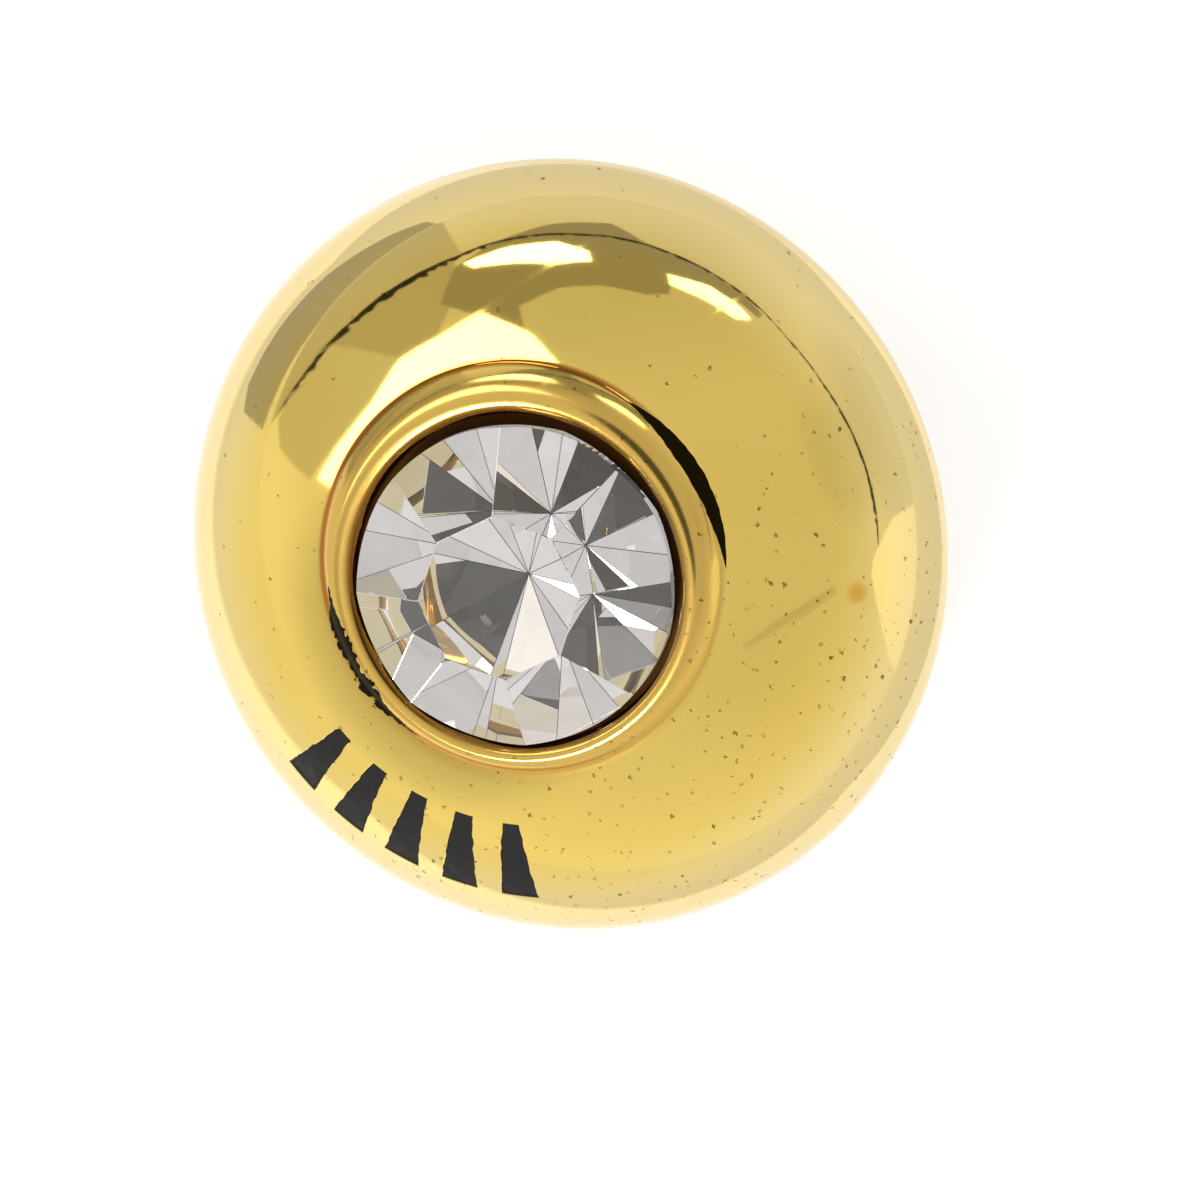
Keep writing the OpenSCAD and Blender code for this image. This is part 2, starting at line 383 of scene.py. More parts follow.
def with_pits(tree, at, colour):
    """Casting pits that took up dirt: uneven specks up to 0.15 mm across, most frequent towards +X."""
    shake = add(tree, "TexNoise", Vector=at.place, Scale=13000.0, Detail=2.0).outputs["Color"]
    shaken = add(tree, "VectorMath", TIMES_PLUS, {0: shake, 1: (0.0003, 0.00016, 0.0003), 2: at.place})
    cells = add(
        tree, "TexVoronoi", {"feature": "F1"}, Vector=shaken.outputs["Vector"], Scale=3000.0, Randomness=1.0
    )
    draws = add(tree, "SeparateXYZ", Vector=cells.outputs["Color"])
    side = add(tree, "SeparateXYZ", Vector=at.place).outputs["X"]
    chance = add(tree, "MapRange", Value=side, From_Min=-0.004, From_Max=0.009, To_Min=0.08, To_Max=0.9)
    drawn = add(tree, "Math", BELOW, {0: draws.outputs["X"], 1: chance.outputs["Result"]}).outputs[0]
    reach = add(tree, "MapRange", Value=draws.outputs["Y"], To_Min=0.06, To_Max=0.23).outputs["Result"]
    near = add(tree, "Math", BELOW, {0: cells.outputs["Distance"], 1: reach}).outputs[0]
    dark = add(tree, "MapRange", Value=draws.outputs["Z"], To_Min=0.4, To_Max=0.85).outputs["Result"]
    pit = add(tree, "Math", TIMES, {0: near, 1: drawn}).outputs[0]
    share = add(tree, "Math", TIMES, {0: pit, 1: dark}).outputs[0]
    return add(tree, "Mix", COLOURS, {SHARE: share, UNDER: colour, OVER: linear("#6b4a18")}).outputs[MIXED]


def with_painted_crease_reflection(tree, at, colour):
    """Painted orange-brown reflection along the crease, where the gold mirrors itself, strongest on one side.
    """
    nearest, farthest = CREASE_R
    # A painted orange reflection along the crease, strongest on one side
    crease = add(
        tree, "MapRange", Value=cosine_to(tree, at, COLLAR_WIDE_AT),
        From_Min=-1.0, From_Max=1.0, To_Min=nearest * MM, To_Max=farthest * MM,
    ).outputs["Result"]
    strength = add(
        tree, "MapRange", SMOOTH, Value=cosine_to(tree, at, PAINTED_CREASE_AT),
        From_Min=-0.5, From_Max=0.5, To_Min=0.2, To_Max=0.9,
    ).outputs["Result"]
    aside = add(tree, "Math", MINUS, {0: at.from_axis, 1: crease}).outputs[0]
    off = add(tree, "Math", UNSIGNED, {0: aside}).outputs[0]
    line = add(
        tree, "MapRange", SMOOTH, Value=off, From_Min=0.00003, From_Max=0.00017, To_Min=1.0, To_Max=0.0
    ).outputs["Result"]
    share = add(tree, "Math", TIMES, {0: line, 1: strength}).outputs[0]
    return add(tree, "Mix", COLOURS, {SHARE: share, UNDER: colour, OVER: linear("#a8601a")}).outputs[MIXED]


def painted_dark_crescent(tree, at, azimuth, spread, crease_r, reach, rough_edge):
    """One ragged crescent of painted dark reflection in the crease: 1 where it is and 0 elsewhere."""
    taper = add(
        tree, "MapRange", Value=cosine_to(tree, at, azimuth),
        From_Min=math.cos(math.radians(spread)), From_Max=1.0, To_Min=0.0, To_Max=reach * MM,
    ).outputs["Result"]
    fray_noise = add(tree, "TexNoise", Vector=at.place, Scale=2600.0, Detail=3.0)
    edge = add(
        tree, "MapRange", Value=fray_noise.outputs["Fac"],
        From_Min=0.35, From_Max=0.65, To_Min=1.0 - rough_edge, To_Max=1.0 + rough_edge,
    ).outputs["Result"]
    half = add(tree, "Math", TIMES, {0: taper, 1: edge}).outputs[0]
    aside = add(tree, "Math", MINUS, {0: at.from_axis, 1: crease_r * MM}).outputs[0]
    off = add(tree, "Math", UNSIGNED, {0: aside}).outputs[0]
    return add(tree, "Math", BELOW, {0: off, 1: half}).outputs[0]


def with_tarnish(tree, at, colour):
    """One orange spot, about 0.6 mm across and soft-edged, where the plate has worn to its copper."""
    away = add(tree, "VectorMath", {"operation": "DISTANCE"}, {0: at.place, 1: TARNISH_AT}).outputs["Value"]
    share = add(
        tree, "MapRange", SMOOTH, Value=away, From_Min=0.0001, From_Max=0.00048, To_Min=0.65, To_Max=0.0
    ).outputs["Result"]
    return add(tree, "Mix", COLOURS, {SHARE: share, UNDER: colour, OVER: linear("#e09a28")}).outputs[MIXED]


def bore_fill_painted_shade(tree, at):
    """Brown non-metal fill in the gap round the stone, its dark brown painted shade: 1 in the bore below its
    lip and 0 elsewhere.
    """
    height = add(tree, "VectorMath", DOT, {0: at.from_foot, 1: AXIS}).outputs["Value"]
    low = add(tree, "Math", BELOW, {0: height, 1: (CREST_W - LIP_DROP) * MM}).outputs[0]
    inside = add(tree, "Math", BELOW, {0: at.from_axis, 1: (BORE_R + 0.02) * MM}).outputs[0]
    return add(tree, "Math", TIMES, {0: low, 1: inside}).outputs[0]


def buffed(tree, at, dark_reflection_share):
    """Roughness and normal of the buffed plate: waves 4 mm long, and hairlines drawn wide enough to show."""
    waves = add(tree, "TexNoise", Vector=at.place, Scale=240.0, Detail=1.5, Roughness=0.45)
    wave_bump = add(tree, "Bump", Height=waves.outputs["Fac"], Strength=0.16, Distance=0.00014)
    turned = add(
        tree, "Mapping", {"vector_type": "POINT"}, Vector=at.place,
        Rotation=(0.3, 0.2, 0.7), Scale=(3000.0, 90.0, 300.0),
    )
    hair = add(tree, "TexNoise", Vector=turned.outputs["Vector"], Scale=1.0, Detail=3.0).outputs["Fac"]
    fine_bump = add(
        tree, "Bump", Height=hair, Normal=wave_bump.outputs["Normal"], Strength=0.06, Distance=0.000008
    )
    scratched = add(
        tree, "MapRange", Value=hair, From_Min=0.6, From_Max=0.75, To_Min=0.0, To_Max=0.07
    ).outputs["Result"]
    # The wheel reaches the rolled collar less well than the dome
    dull = add(
        tree, "MapRange", SMOOTH, Value=at.from_axis,
        From_Min=0.006, From_Max=0.0066, To_Min=0.18, To_Max=0.05,
    ).outputs["Result"]
    polish = add(tree, "Math", PLUS, {0: scratched, 1: dull}).outputs[0]
    # Rougher where dark reflections are painted in the crease
    roughness = add(tree, "Math", TIMES_PLUS, {0: dark_reflection_share, 1: 0.4, 2: polish}).outputs[0]
    return roughness, fine_bump.outputs["Normal"]


def gold_plate():
    """Yellow gold electroplate on cast brass, buffed to a waving mirror, with its pits and tarnish, and
    painted paling, painted shade and painted reflections.
    """
    made, tree = material("gold_plate_buffed")
    at = measure(tree)
    colour = with_painted_crease_reflection(tree, at, with_pits(tree, at, plate_tint_and_painted_light(tree, at)))
    # Painted dark reflections in the crease; they also make the gold rougher there
    dark_reflections = [painted_dark_crescent(tree, at, *one) for one in PAINTED_DARK_CRESCENTS]
    for share in dark_reflections:
        colour = add(
            tree, "Mix", COLOURS, {SHARE: share, UNDER: colour, OVER: linear("#1c1606")}
        ).outputs[MIXED]
    colour = with_tarnish(tree, at, colour)
    # Painted brown shade in the gap round the stone, on a non-metal fill
    filled = bore_fill_painted_shade(tree, at)
    colour = add(tree, "Mix", COLOURS, {SHARE: filled, UNDER: colour, OVER: linear("#6e4a20")}).outputs[MIXED]
    dark_reflection_share = add(tree, "Math", PLUS, dict(enumerate(dark_reflections))).outputs[0]
    roughness, normal = buffed(tree, at, dark_reflection_share)
    # The fill in the bore is no metal
    plated = add(tree, "Math", MINUS, {0: 1.0, 1: filled}).outputs[0]
    shader = add(
        tree, "BsdfPrincipled", Base_Color=colour, Metallic=plated, Roughness=roughness, Normal=normal
    )
    add(tree, "OutputMaterial", Surface=shader.outputs["BSDF"])
    return made


def clip_plate():
    """Thinner gold plate on stamped brass, brushed along the clip: softer reflections with a fine grain."""
    made, tree = material("gold_plate_brushed")
    place = add(tree, "TexCoord").outputs["Object"]
    # Grain of the brushing, 0.06 mm apart, along the clip
    along = add(tree, "Mapping", {"vector_type": "POINT"}, Vector=place, Scale=(16000.0, 500.0, 16000.0))
    grain = add(tree, "TexNoise", Vector=along.outputs["Vector"], Scale=1.0, Detail=3.0).outputs["Fac"]
    rough = add(tree, "MapRange", Value=grain, From_Min=0.3, From_Max=0.7, To_Min=0.2, To_Max=0.34)
    tarnish = add(tree, "TexNoise", Vector=place, Scale=260.0, Detail=4.0)
    tone = add(tree, "ValToRGB", Fac=tarnish.outputs["Fac"])
    ramp(tone, (0.38, "#d4ae58"), (0.62, "#edcf7c"))
    bump = add(tree, "Bump", Height=grain, Strength=0.25, Distance=0.00001)
    shader = add(
        tree, "BsdfPrincipled", Base_Color=tone.outputs["Color"], Metallic=1.0,
        Roughness=rough.outputs["Result"], Normal=bump.outputs["Normal"],
    )
    add(tree, "OutputMaterial", Surface=shader.outputs["BSDF"])
    return made


def deep_light(tree):
    """The strength of the light that the stone gives past the last reflection that the renderer follows."""
    depth = add(tree, "LightPath").outputs["Glossy Depth"]
    deep = add(tree, "Math", {"operation": "GREATER_THAN"}, {0: depth, 1: REFLECTIONS - 0.5}).outputs[0]
    return add(tree, "Math", TIMES, {0: deep, 1: DEEP_LIGHT}).outputs[0]


def lead_crystal():
    """Machine-cut and polished lead crystal: water clear, so that the foil behind it shows; it glows with
    painted light past the last reflection followed.
    """
    made, tree = material("lead_crystal_cut")
    shader = add(
        tree, "BsdfPrincipled",
        Base_Color=linear("#fdfdfb"), Roughness=0.0, IOR=1.65, Transmission_Weight=1.0,
        Emission_Strength=deep_light(tree), Emission_Color=linear(DEEP_TINT),
    )
    add(tree, "OutputMaterial", Surface=shader.outputs["BSDF"])
    return made


def foil_backing(name, low, high):
    """Silver foil fired on the stone's back: a pale mirror behind the glass, darker where it cracked, glowing
    with painted light past the last reflection followed.
    """
    made, tree = material(name)
    place = add(tree, "TexCoord").outputs["Object"]
    mottle = add(tree, "TexNoise", Vector=place, Scale=700.0, Detail=3.0)
    tone = add(tree, "ValToRGB", Fac=mottle.outputs["Fac"])
    ramp(tone, (0.3, low), (0.7, high))
    shader = add(
        tree, "BsdfPrincipled", Base_Color=tone.outputs["Color"], Metallic=1.0, Roughness=0.0,
        Emission_Strength=deep_light(tree), Emission_Color=linear(DEEP_TINT),
    )
    add(tree, "OutputMaterial", Surface=shader.outputs["BSDF"])
    return made


def black_enamel():
    """Cold black enamel wiped into the recesses: dull, uneven and a little dusty."""
    made, tree = material("black_enamel_wiped")
    place = add(tree, "TexCoord").outputs["Object"]
    blotch = add(tree, "TexNoise", Vector=place, Scale=1600.0, Detail=4.0, Roughness=0.6).outputs["Fac"]
    tone = add(tree, "ValToRGB", Fac=blotch)
    ramp(tone, (0.4, "#070605"), (0.8, "#1c170e"))
    rough = add(tree, "MapRange", Value=blotch, From_Min=0.3, From_Max=0.7, To_Min=0.42, To_Max=0.7)
    bump = add(tree, "Bump", Height=blotch, Strength=0.5, Distance=0.00004)
    shader = add(
        tree, "BsdfPrincipled", Base_Color=tone.outputs["Color"], Roughness=rough.outputs["Result"],
        Normal=bump.outputs["Normal"], Specular_IOR_Level=0.25,
    )
    add(tree, "OutputMaterial", Surface=shader.outputs["BSDF"])
    return made


GOLD = gold_plate()
CLIP = clip_plate()
CRYSTAL = lead_crystal()
FOIL = foil_backing("silver_foil_fired", "#f2efef", "#f9f6f6")
CRACKED_FOIL = foil_backing("silver_foil_cracked", "#4a454a", "#7d767b")
ENAMEL = black_enamel()


# Pieces


def lay_down(bm, name, materials, nodes, crisp=None):
    """Lays the upright mesh down at rest as one named piece that stands for nodes."""
    bmesh.ops.transform(bm, matrix=at_rest, verts=bm.verts)
    mesh = bpy.data.meshes.new(name)
    bm.to_mesh(mesh)
    bm.free()
    for made in materials:
        mesh.materials.append(made)
    if crisp is not None:
        mesh.shade_smooth()
        mesh.set_sharp_from_angle(angle=math.radians(crisp))
    piece = bpy.data.objects.new(name, mesh)
    bpy.context.scene.collection.objects.link(piece)
    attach(piece, "root")
    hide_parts(*nodes)


def polar(at):
    """A point's distance from the axis and its azimuth in radians."""
    return math.hypot(at.x, at.y), math.atan2(at.y, at.x)


def dome_w(r):
    """Height of the polished dome at a distance from the axis."""
    return EDGE_R + DOME_RISE * math.sqrt(max(0.0, 1 - (r / BUTTON_R) ** 2))


def arc(centre, radius, start, end, steps):
    """Points along an arc in the half section, with angles in degrees from the outward direction."""
    turns = [math.radians(start + (end - start) * i / steps) for i in range(steps + 1)]
    return [(centre[0] + radius * math.cos(t), centre[1] + radius * math.sin(t)) for t in turns]


def dome_points(start_r, end_r, steps, rise=DOME_RISE, wide=BUTTON_R):
    """Points along the dome from one distance to another, evenly spread in slope."""
    a, b = math.asin(start_r / wide), math.asin(min(1.0, end_r / wide))
    turns = [a + (b - a) * i / steps for i in range(steps + 1)]
    return [(wide * math.sin(t), EDGE_R + rise * math.cos(t)) for t in turns]


def collar_w(r):
    """Height of the casting across the collar: a rolled ridge that meets the dome in a tight crease."""
    steep = (CREST_W - dome_w(COLLAR_FOOT_R)) / (COLLAR_FOOT_R - CREST_R) ** 2
    ridge, dome = CREST_W - steep * (r - CREST_R) ** 2, dome_w(r)
    near = max(CREASE_SOFT - abs(ridge - dome), 0.0) / CREASE_SOFT
    return max(ridge, dome) + near * near * CREASE_SOFT / 4


def collar_points(steps):
    """Points along the rolled collar: up its inner lip from the bore, over the crest, down to the dome."""
    wide = CREST_R - BORE_R
    turns = [math.radians(t) for t in range(0, 84, 7)]
    inner = [(CREST_R - wide * math.cos(t), CREST_W - LIP_DROP * (1 - math.sin(t))) for t in turns]
    radii = [CREST_R + (COLLAR_END_R - CREST_R) * i / steps for i in range(steps + 1)]
    return inner + [(r, collar_w(r)) for r in radii]


def shell_profile():
    """Closed half section of the casting, from the tip of the stone's seat round to the cup's back."""
    seat_w = SEAT_TIP_W + BORE_R * math.tan(math.radians(SEAT_SLOPE))
    points = [(0.0, SEAT_TIP_W), (BORE_R / 2, (SEAT_TIP_W + seat_w) / 2), (BORE_R, seat_w)]
    points += collar_points(steps=44)
    points += dome_points(COLLAR_END_R, RAY_INNER_R, steps=10)[1:]
    points += dome_points(RAY_INNER_R, RAY_OUTER_R, steps=30)[1:]
    points += dome_points(RAY_OUTER_R, BUTTON_R, steps=34)[1:]
    points += arc((BUTTON_R - EDGE_R, EDGE_R), EDGE_R, 0, -90, steps=12)[1:]
    points += [(PLATE_SEAT_R, 0.0), (PLATE_SEAT_R, PLATE_SEAT_W), (LEDGE_R, PLATE_SEAT_W)]
    points += dome_points(LEDGE_R, CUP_R, steps=24, rise=DOME_RISE - WALL, wide=BUTTON_R - WALL)
    points += [(CUP_TIP_R, CUP_BOTTOM_W), (0.0, CUP_BOTTOM_W)]
    return points


def spun(points):
    """Spins a half section once round the axis into a closed skin."""
    bm = bmesh.new()
    line = [bm.verts.new((r, 0.0, w)) for r, w in points]
    edges = [bm.edges.new(pair) for pair in zip(line, line[1:])]
    bmesh.ops.spin(
        bm, geom=line + edges, cent=(0, 0, 0), axis=(0, 0, 1), dvec=(0, 0, 0),
        angle=2 * math.pi, steps=SPIN_STEPS, use_merge=True, use_duplicate=False,
    )
    bmesh.ops.remove_doubles(bm, verts=bm.verts, dist=0.0005)
    bmesh.ops.recalc_face_normals(bm, faces=bm.faces)
    return bm


def shift_collar_foot(bm):
    """Draws the collar's foot in, most on the side away from COLLAR_WIDE_AT, as the filed crease lies."""
    for vert in bm.verts:
        r, azimuth = polar(vert.co)
        if not CREST_R < r < COLLAR_CALM_R or vert.co.z < dome_w(r) - SKIN_DEPTH:
            continue
        swell = vert.co.z - dome_w(r)
        drawn = FOOT_DRAWN_IN - FOOT_UNEVEN * math.cos(azimuth - math.radians(COLLAR_WIDE_AT))
        if r < COLLAR_FOOT_R:
            part = (r - CREST_R) / (COLLAR_FOOT_R - CREST_R)
        else:
            part = (COLLAR_CALM_R - r) / (COLLAR_CALM_R - COLLAR_FOOT_R)
        r -= drawn * part
        vert.co = Vector((r * math.cos(azimuth), r * math.sin(azimuth), dome_w(r) + swell))


def shift_bore(bm):
    """Moves the bore's lip sideways under a crest that stays, as the stone was pushed home."""
    for vert in bm.verts:
        r, _ = polar(vert.co)
        if BORE_R - 0.01 < r < CREST_R and vert.co.z > dome_w(BORE_R) - LIP_REACH:
            vert.co += Vector((*BORE_SHIFT, 0.0)) * (CREST_R - r) / (CREST_R - BORE_R)


def ray_azimuth(i):
    """The azimuth of a ray's middle line, for rays numbered from 1."""
    return RAY_MIDDLE + (i - (RAY_COUNT + 1) / 2) * RAY_PITCH


def ragged(i, along, side):
    """How far the hand-wiped edge of a ray wanders, in millimetres: long waves and short ones."""
    long_wave = noise.noise(Vector((along * 3.1, i * 7.3, side * 11.7)))
    short_wave = noise.noise(Vector((along * 9.0, i * 5.1, side * 3.3)))
    return 0.045 * long_wave + 0.02 * short_wave


def ray_half_turn(i, r, side):
    """Half the angle that a ray takes up at a distance from the axis, in degrees."""
    held = min(max(r, RAY_INNER_R), RAY_OUTER_R)
    part = (held - RAY_INNER_R) / (RAY_OUTER_R - RAY_INNER_R)
    half = (RAY_INNER_W + (RAY_OUTER_W - RAY_INNER_W) * part) / 2 + ragged(i, held, side)
    return math.degrees(math.asin(half / held))


def fit_grid_to_rays(bm):
    """Slides the skin's points round the axis, so that the rays' sides lie along its edges."""
    half_pitch = RAY_PITCH / 2
    fitted_from_r = RAY_INNER_R - 1.5
    for vert in bm.verts:
        r, turn = polar(vert.co)
        if r < fitted_from_r:
            continue
        for i in range(1, RAY_COUNT + 1):
            off = math.degrees(turn) - ray_azimuth(i)
            if abs(off) > half_pitch:
                continue
            side = 1 if off > 0 else -1
            half = ray_half_turn(i, r, side)
            if abs(off) <= RAY_GRID:
                moved = abs(off) / RAY_GRID * half
            else:
                moved = half + (abs(off) - RAY_GRID) / (half_pitch - RAY_GRID) * (half_pitch - half)
            fitted = math.radians(ray_azimuth(i) + side * moved)
            vert.co.x, vert.co.y = r * math.cos(fitted), r * math.sin(fitted)
            break


def ray_faces(bm, i):
    """Faces of the polished dome that lie inside one ray, before the grid is fitted."""
    found = []
    for face in bm.faces:
        at = face.calc_center_median()
        r, turn = polar(at)
        if not RAY_INNER_R < r < RAY_OUTER_R or at.z < dome_w(r) - SKIN_DEPTH:
            continue
        if abs(math.degrees(turn) - ray_azimuth(i)) < RAY_GRID:
            found.append(face)
    return found


def inset(bm, faces, thickness, depth):
    """Insets a region of faces evenly and returns the new rim's faces."""
    done = bmesh.ops.inset_region(
        bm, faces=faces, use_boundary=True, use_even_offset=True, thickness=thickness, depth=depth
    )
    return done["faces"]


def copied_faces(bm, faces):
    """A new mesh that holds only the given faces."""
    copy = bm.copy()
    copy.faces.ensure_lookup_table()
    kept = {face.index for face in faces}
    bmesh.ops.delete(copy, geom=[f for f in copy.faces if f.index not in kept], context="FACES")
    return copy


def button_shell():
    """The casting, with its rays sunk as real recesses. Returns the upright enamel of each ray too."""
    bm = spun(shell_profile())
    rays = [ray_faces(bm, i) for i in range(1, RAY_COUNT + 1)]
    fit_grid_to_rays(bm)
    shift_collar_foot(bm)
    shift_bore(bm)
    bm.normal_update()
    enamels = [copied_faces(bm, faces) for faces in rays]
    for faces in rays:
        inset(bm, faces, RAY_RIM, 0.0)
        inset(bm, faces, RAY_CHAMFER, -RAY_CHAMFER)
        inset(bm, faces, RAY_DRAFT, -RAY_DEPTH)
    lay_down(bm, "shell_skin", [GOLD], ["button_shell"], crisp=38)
    return enamels


def enamel_ray(i, filling):
    """One ray's enamel: a slightly sunken, uneven pad that fills its recess."""
    filling.normal_update()
    rim = inset(filling, list(filling.faces), ENAMEL_GAP, 0.0)
    bmesh.ops.delete(filling, geom=rim, context="FACES")
    filling.normal_update()
    for vert in filling.verts:
        vert.co += vert.normal * (ENAMEL_UNEVEN * noise.noise(vert.co * 2.2) - ENAMEL_SUNK)
    bmesh.ops.solidify(filling, geom=list(filling.faces), thickness=ENAMEL_THICK)
    bmesh.ops.recalc_face_normals(filling, faces=filling.faces)
    lay_down(filling, f"ray_enamel_{i}", [ENAMEL], [f"enamel_ray_{i}"], crisp=50)


def cut_facets(bm, start, slope, up):
    """Grinds a ring of equal facets from the girdle to the stone's crown, or to its back where up is -1."""
    lean = math.radians(slope)
    for i in range(STONE_SIDES):
        turn = math.radians(start + i * 360 / STONE_SIDES)
        out = Vector((math.sin(lean) * math.cos(turn), math.sin(lean) * math.sin(turn), up * math.cos(lean)))
        at = Vector((STONE_R * math.cos(turn), STONE_R * math.sin(turn), up * GIRDLE_H / 2))
        cut = bmesh.ops.bisect_plane(
            bm, geom=list(bm.verts) + list(bm.edges) + list(bm.faces), dist=1e-5,
            plane_co=at, plane_no=out, clear_outer=True,
        )
        rim = [e for e in cut["geom_cut"] if isinstance(e, bmesh.types.BMEdge)]
        if rim:
            bmesh.ops.edgeloop_fill(bm, edges=rim)


def soften_edges(bm, belongs, width, made):
    """Bevels the stone's edges whose faces both belong, and gives the new strips a material by its number."""
    edges = [
        e for e in bm.edges
        if e.calc_face_angle() > math.radians(FACET_EDGE) and all(belongs(f) for f in e.link_faces)
    ]
    bmesh.ops.bevel(
        bm, geom=edges, offset=width, offset_type="OFFSET", segments=1, profile=0.5, affect="EDGES",
        clamp_overlap=True, material=made,
    )


def stone():
    """The cut stone in one closed skin: a worn glass crown, and a foiled back cracked along its edges."""
    half_pitch = 180 / STONE_SIDES
    table_side = TABLE_R * math.cos(math.radians(half_pitch))
    crown_h = GIRDLE_H / 2 + (STONE_R - table_side) * math.tan(math.radians(CROWN_ANGLE))
    back_h = GIRDLE_H / 2 + STONE_R * math.tan(math.radians(BACK_ANGLE))
    bm = bmesh.new()
    bmesh.ops.create_cone(
        bm, cap_ends=True, cap_tris=False, segments=128,
        radius1=STONE_R, radius2=STONE_R, depth=crown_h + back_h,
    )
    bmesh.ops.translate(bm, vec=(0, 0, (crown_h - back_h) / 2), verts=bm.verts)
    cut_facets(bm, half_pitch, CROWN_ANGLE, 1)
    cut_facets(bm, BACK_TURN, BACK_ANGLE, -1)
    bmesh.ops.remove_doubles(bm, verts=bm.verts, dist=0.001)
    bmesh.ops.dissolve_limit(bm, angle_limit=math.radians(0.2), verts=bm.verts, edges=bm.edges)
    bmesh.ops.recalc_face_normals(bm, faces=bm.faces)
    soften_edges(bm, lambda face: face.normal.z > FACET_RISE, CROWN_WEAR, -1)
    for face in bm.faces:
        face.material_index = 1 if face.normal.z < -FACET_RISE else 0
    soften_edges(bm, lambda face: face.material_index == 1, FOIL_CRACK, 2)
    for axis, turn in (("Z", STONE_TURN), ("Y", STONE_SKEW[1]), ("X", STONE_SKEW[0])):
        turned = Matrix.Rotation(math.radians(turn), 3, axis)
        bmesh.ops.rotate(bm, cent=(0, 0, 0), matrix=turned, verts=bm.verts)
    bmesh.ops.translate(bm, vec=STONE_AT, verts=bm.verts)
    lay_down(bm, "cut_stone", [CRYSTAL, FOIL, CRACKED_FOIL], ["stone"])


for number, filling in enumerate(button_shell(), 1):
    enamel_ray(number, filling)
stone()

clip = frame["nodes"]["clip_back"]
clip.data.materials.clear()
clip.data.materials.append(CLIP)


# Studio


def staged(name, bm, made, seen=True):
    """A floor or card of the studio, which isn't part of the earring."""
    mesh = bpy.data.meshes.new(name)
    bm.to_mesh(mesh)
    bm.free()
    mesh.materials.append(made)
    prop = bpy.data.objects.new(name, mesh)
    bpy.context.scene.collection.objects.link(prop)
    prop.visible_camera = seen


def acrylic():
    """White acrylic sheet, lit evenly from behind so that the earring throws no shadow on it."""
    made, tree = material("white_acrylic_lit")
    shader = add(
        tree, "BsdfPrincipled", Base_Color=linear("#bcbcbb"), Roughness=0.9,
        Emission_Color=linear("#ffffff"), Emission_Strength=0.62,
    )
    add(tree, "OutputMaterial", Surface=shader.outputs["BSDF"])
    return made


def fabric(name, strength):
    """Tent cloth or a reflector that glows evenly with the light behind it."""
    made, tree = material(name)
    glow = add(tree, "Emission", Color=WARM_CLOTHS.get(name, linear("#ffffff")), Strength=strength)
    add(tree, "OutputMaterial", Surface=glow.outputs["Emission"])
    return made


def floor():
    """The floor that the earring lies on."""
    bm = bmesh.new()
    bmesh.ops.create_grid(bm, x_segments=1, y_segments=1, size=FLOOR_HALF)
    staged("floor", bm, acrylic())


def aim(azimuth, elevation, distance):
    """A point seen from the button in a direction, in metres."""
    a, e = math.radians(azimuth), math.radians(elevation)
    toward = Vector((math.cos(a) * math.cos(e), math.sin(a) * math.cos(e), math.sin(e)))
    return toward * distance + SEEN_FROM


def sheet(name, made, lower, upper):
    """A reflector between two edges, each a list of points. It shows only in what mirrors it."""
    bm = bmesh.new()
    chains = []
    for side in (lower, upper):
        points = [bm.verts.new(at) for at in side]
        chains += [bm.edges.new(pair) for pair in zip(points, points[1:])]
    bmesh.ops.bridge_loops(bm, edges=chains)
    staged(name, bm, made, seen=False)


def card(name, cloth, glow, distance, lower, upper):
    """A hanging sheet, with its edges as (azimuth, elevation) directions seen from the button."""
    sides = [[aim(azimuth, elevation, distance) for azimuth, elevation in side] for side in (lower, upper)]
    sheet(name, fabric(cloth, glow), *sides)


def frayed(path):
    """Both edges of a frayed strip, from its path of (azimuth, elevation, thickness)."""
    low, high = [], []
    for start, end in zip(path, path[1:]):
        for i in range(FRAY_STEPS):
            azimuth, elevation, thick = (a + (b - a) * i / FRAY_STEPS for a, b in zip(start, end))
            coarse = noise.noise(Vector((azimuth * 0.8, 0.0, 0.0)))
            fray = coarse + 0.6 * noise.noise(Vector((azimuth * 2.3, 5.0, 0.0)))
            low.append((azimuth, elevation - 0.25 * fray))
            high.append((azimuth, elevation + thick * max(0.25, 1.0 + 1.2 * fray)))
    return low, high


def lens_hood():
    """The lens hood, close over the stone: the facets that send light back to the camera show it as dark."""
    x, y, height = HOOD_AT
    half_width, half_length = HOOD_HALF
    turns = [math.radians(t) for t in range(-90, 91, 15)]
    sides = [
        [
            Vector((x + side * half_width * math.cos(t), y + half_length * math.sin(t), height)) * MM
            for t in turns
        ]
        for side in (-1, 1)
    ]
    sheet("lens_hood", fabric("lens_black", 0.07), *sides)


def floor_shade(name, cloth, glow, inner, outer):
    """A dimmer stretch of floor beyond the picture, its edges given as shares along the picture's axes."""
    sides = [
        [IMAGE_CENTRE + (IMAGE_RIGHT * x + IMAGE_UP * y) * reach * MM for x, y in side]
        for side, reach in ((inner, SHADE_NEAR), (outer, SHADE_FAR))
    ]
    sheet(name, fabric(cloth, glow), *sides)


def floor_flap():
    """The dark floor under the tent's flap, which the dome's edge mirrors."""
    sides = []
    for side in (FLAP_NEAR, FLAP_FAR):
        turns = [(math.radians(azimuth), r) for azimuth, r in side]
        sides.append([Vector((math.cos(turn) * r, math.sin(turn) * r, FLAP_H)) * MM for turn, r in turns])
    sheet("floor_flap", fabric("floor_cloth_dark", FLAP_GLOW), *sides)


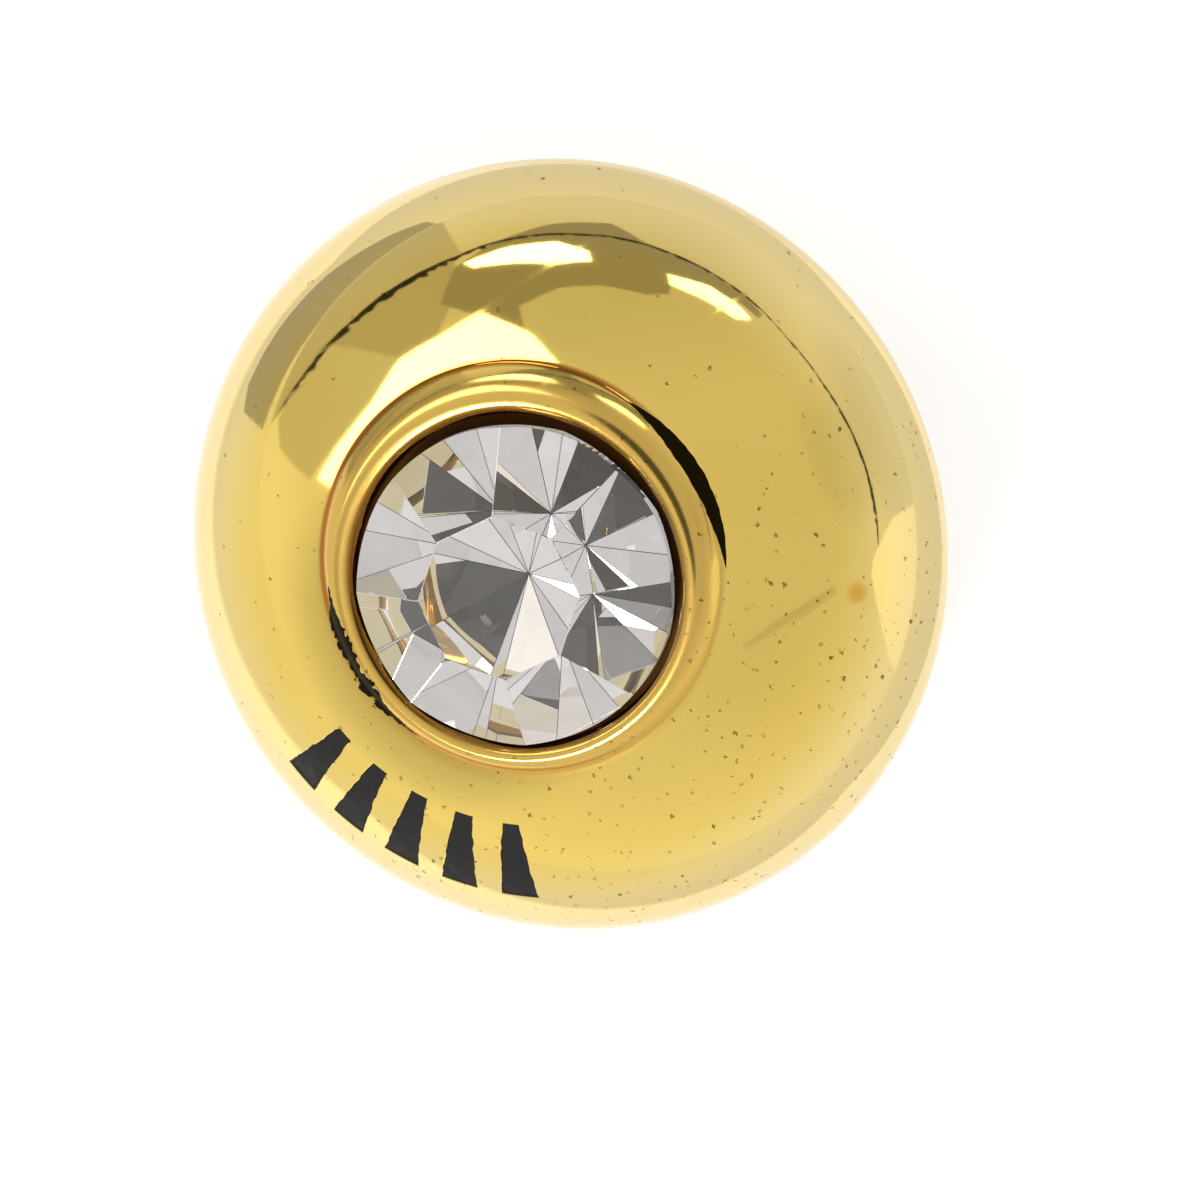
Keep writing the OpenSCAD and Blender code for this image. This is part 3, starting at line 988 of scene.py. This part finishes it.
def studio_cards():
    """What the polished gold and the stone mirror: the tent, its lamps, the camera and the floor."""
    card("tent_rim", "black_piping", 0.02, PIPING_FAR, *frayed(PIPING))
    for row in SHEETS:
        card(*row)
    lens_hood()
    for row in SHADES:
        floor_shade(*row)
    floor_flap()


def camera():
    """The photo's camera: a long lens straight over the earring, turned as the photo shows it."""
    data = bpy.data.cameras.new("camera")
    data.lens = LENS
    data.sensor_width = SENSOR
    data.clip_start, data.clip_end = 0.01, 5
    data.dof.use_dof = False
    made = bpy.data.objects.new("camera", data)
    made.location = CAMERA_AT
    made.rotation_euler = (0, 0, math.radians(CAMERA_TURN))
    bpy.context.scene.collection.objects.link(made)
    bpy.context.scene.camera = made


def lobe(tree, direction, azimuth, elevation, wide, change):
    """The tent's change of level round one direction: full up to a quarter of the width, none beyond it."""
    toward = aim(azimuth, elevation, 1.0) - SEEN_FROM
    near = add(tree, "VectorMath", DOT, {0: direction, 1: toward}).outputs["Value"]
    none_at, full_at = (math.cos(math.radians(angle)) for angle in (wide, wide / 4))
    return add(
        tree, "MapRange", SMOOTH, Value=near, From_Min=none_at, From_Max=full_at, To_Min=0.0, To_Max=change
    ).outputs["Result"]


def world():
    """The light tent's cloth: near white low down and dimmer overhead, softly uneven all round."""
    made = bpy.data.worlds.new("studio_tent")
    made.use_nodes = True
    tree = made.node_tree
    tree.nodes.clear()
    direction = add(tree, "TexCoord").outputs["Generated"]
    height = add(tree, "SeparateXYZ", Vector=direction).outputs["Z"]
    level = add(
        tree, "MapRange", Value=height, From_Min=0.8, From_Max=0.1, To_Min=0.73, To_Max=0.99
    ).outputs["Result"]
    for row in LOBES:
        level = add(tree, "Math", PLUS, {0: level, 1: lobe(tree, direction, *row)}).outputs[0]
    sky = add(tree, "Background", Color=(0.99, 1.0, 1.01, 1.0), Strength=level)
    add(tree, "OutputWorld", Surface=sky.outputs["Background"])
    bpy.context.scene.world = made


camera()
world()
floor()
studio_cards()

view = bpy.context.scene.view_settings
view.view_transform = "Standard"
view.look = "None"
